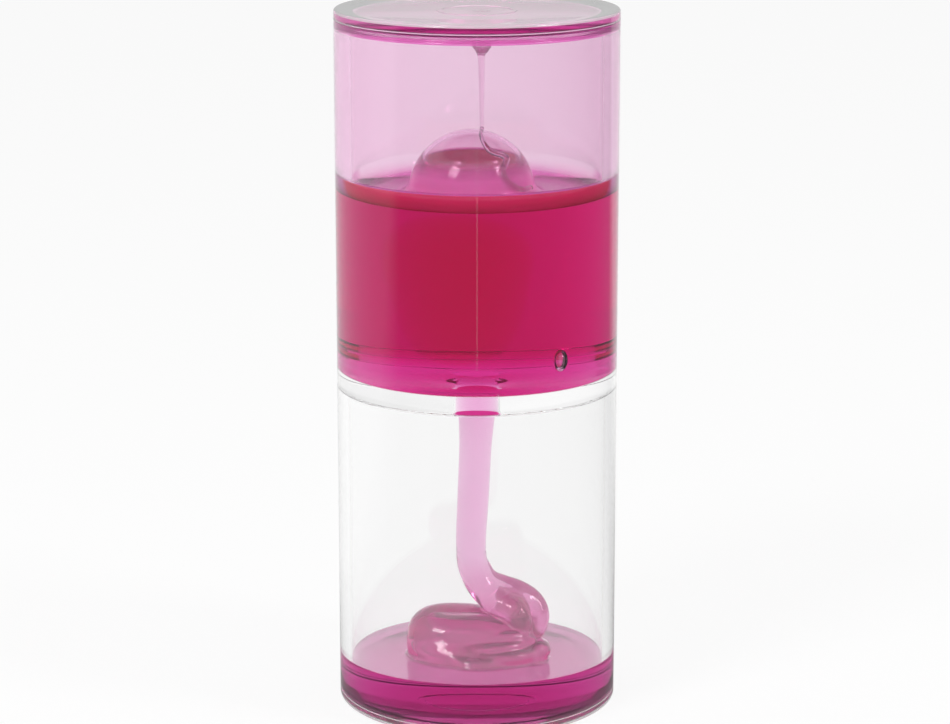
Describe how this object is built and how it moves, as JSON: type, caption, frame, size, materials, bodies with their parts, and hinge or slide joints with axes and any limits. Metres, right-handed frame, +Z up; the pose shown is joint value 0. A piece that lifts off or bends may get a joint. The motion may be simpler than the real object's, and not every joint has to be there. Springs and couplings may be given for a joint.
{
  "type": "liquid motion timer",
  "caption": "Closed clear cylinder in two chambers; thick dyed liquid drains through a holed divider, coils on the pool below, and starts again when turned over.",
  "frame": {"origin": "centre of the base, on the surface that the body stands on", "axes": "+Z up along the body; -Y towards the viewer, with the stream's fold turning to +X"},
  "size_m": [0.06, 0.06, 0.15],
  "materials": {
    "clear_shell": "polished clear acrylic",
    "clear_divider": "polished clear moulded plastic",
    "stopper": "smooth translucent plastic",
    "cement": "clear cement with an uneven edge",
    "dyed_liquid": "transparent magenta liquid, thick and glossy",
    "liquid_film": "thin film of the same liquid"
  },
  "bodies": {
    "vessel": {"lower_tube": "clear_shell", "upper_tube": "clear_shell", "top_cap": "clear_shell", "bottom_cap": "clear_shell", "divider_plate": "clear_divider", "top_filler_plug": "stopper", "top_cap_cement": "cement", "upper_divider_cement": "cement", "lower_divider_cement": "cement", "bottom_cap_cement": "cement", "upper_liquid": "dyed_liquid", "wall_film": "liquid_film", "lid_residue": "dyed_liquid", "drip_thread": "dyed_liquid", "orifice_liquid": "dyed_liquid", "falling_stream": "dyed_liquid", "lower_liquid": "dyed_liquid"},
    "upper_level": {"upper_surface": "dyed_liquid", "surface_bubble": "liquid_film", "folded_thread": "dyed_liquid"},
    "lower_level": {"lower_surface": "dyed_liquid", "coil_pile": "dyed_liquid", "stream_fold": "dyed_liquid"}
  },
  "joints": [
    {"name": "lower_level_rise", "type": "slide", "parent": "vessel", "child": "lower_level", "axis": [0, 0, 1], "range_m": [0, 0.032], "deforming": ["lower_liquid", "falling_stream"]},
    {"name": "upper_level_fall", "type": "slide", "parent": "vessel", "child": "upper_level", "axis": [0, 0, -1], "range_m": [0, 0.032], "deforming": ["upper_liquid", "wall_film", "drip_thread"]}
  ],
  "couplings": [
    {"joint": "upper_level_fall", "follows": "lower_level_rise", "ratio": 1}
  ]
}
